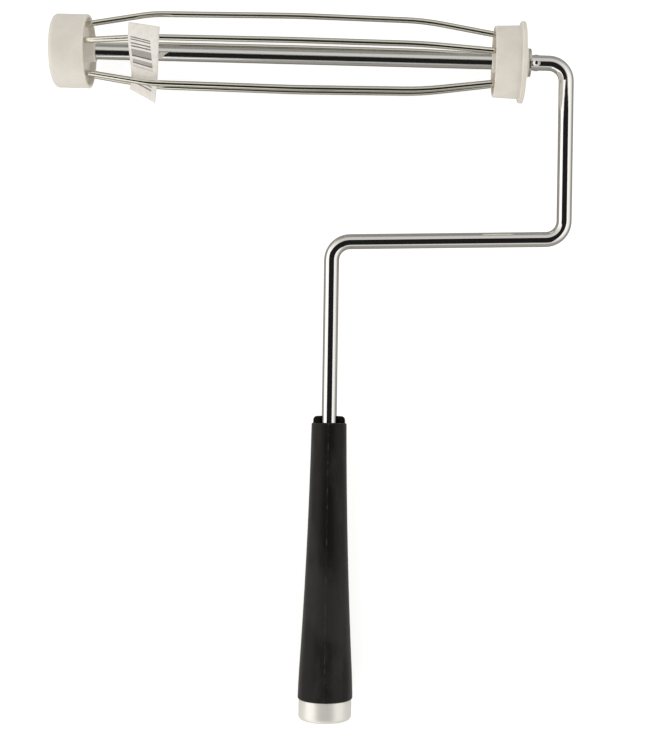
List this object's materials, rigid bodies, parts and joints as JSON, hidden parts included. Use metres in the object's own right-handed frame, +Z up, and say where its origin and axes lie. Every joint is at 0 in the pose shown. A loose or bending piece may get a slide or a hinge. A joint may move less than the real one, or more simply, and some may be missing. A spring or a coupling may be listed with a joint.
{
  "type": "paint roller",
  "caption": "Cage-type paint roller frame: bent chrome rod, spinning wire cage between nylon end caps, flared black grip with a threaded pole socket in a metal ferrule.",
  "frame": {"origin": "on the bench under the middle of the whole tool's box, with the tool lying flat", "axes": "+X along the roller's axis towards the rod's leg, +Y from the handle to the roller, +Z up from the bench"},
  "size_m": [0.2642, 0.3572, 0.042],
  "materials": {
    "chrome_rod": "bright chrome plate",
    "cage_wire": "zinc-plated spring wire, semi-bright",
    "nylon": "natural milky nylon, satin",
    "washer_steel": "zinc-plated, dull",
    "spring_steel": "dark spring steel",
    "core_plastic": "black moulded plastic",
    "grip_plastic": "black moulded plastic, fine matte texture",
    "ferrule_metal": "satin, brushed round the cup",
    "label_paper": null
  },
  "bodies": {
    "root": {"frame_rod": "chrome_rod", "push_nut": "spring_steel", "handle_core": "core_plastic", "grip_sleeve": "grip_plastic", "ferrule": "ferrule_metal"},
    "cage": {"inner_end_cap": "nylon", "outer_end_cap": "nylon", "outer_cap_plug": "nylon", "paper_label": "label_paper", "cage_wire_1": "cage_wire", "cage_wire_2": "cage_wire", "cage_wire_3": "cage_wire", "cage_wire_4": "cage_wire", "cage_wire_5": "cage_wire"},
    "thrust_washer": {"thrust_washer": "washer_steel"},
    "retainer_washer": {"retainer_washer": "washer_steel"}
  },
  "joints": [
    {"name": "cage_spin", "type": "hinge", "parent": "root", "child": "cage", "pos_m": [-0.01354, 0.1571, 0.02043], "axis": [1, 0, 0], "continuous": true},
    {"name": "thrust_washer_spin", "type": "hinge", "parent": "root", "child": "thrust_washer", "pos_m": [0.10866, 0.1571, 0.02043], "axis": [1, 0, 0], "continuous": true},
    {"name": "retainer_washer_spin", "type": "hinge", "parent": "root", "child": "retainer_washer", "pos_m": [-0.12154, 0.1571, 0.02043], "axis": [1, 0, 0], "continuous": true}
  ]
}
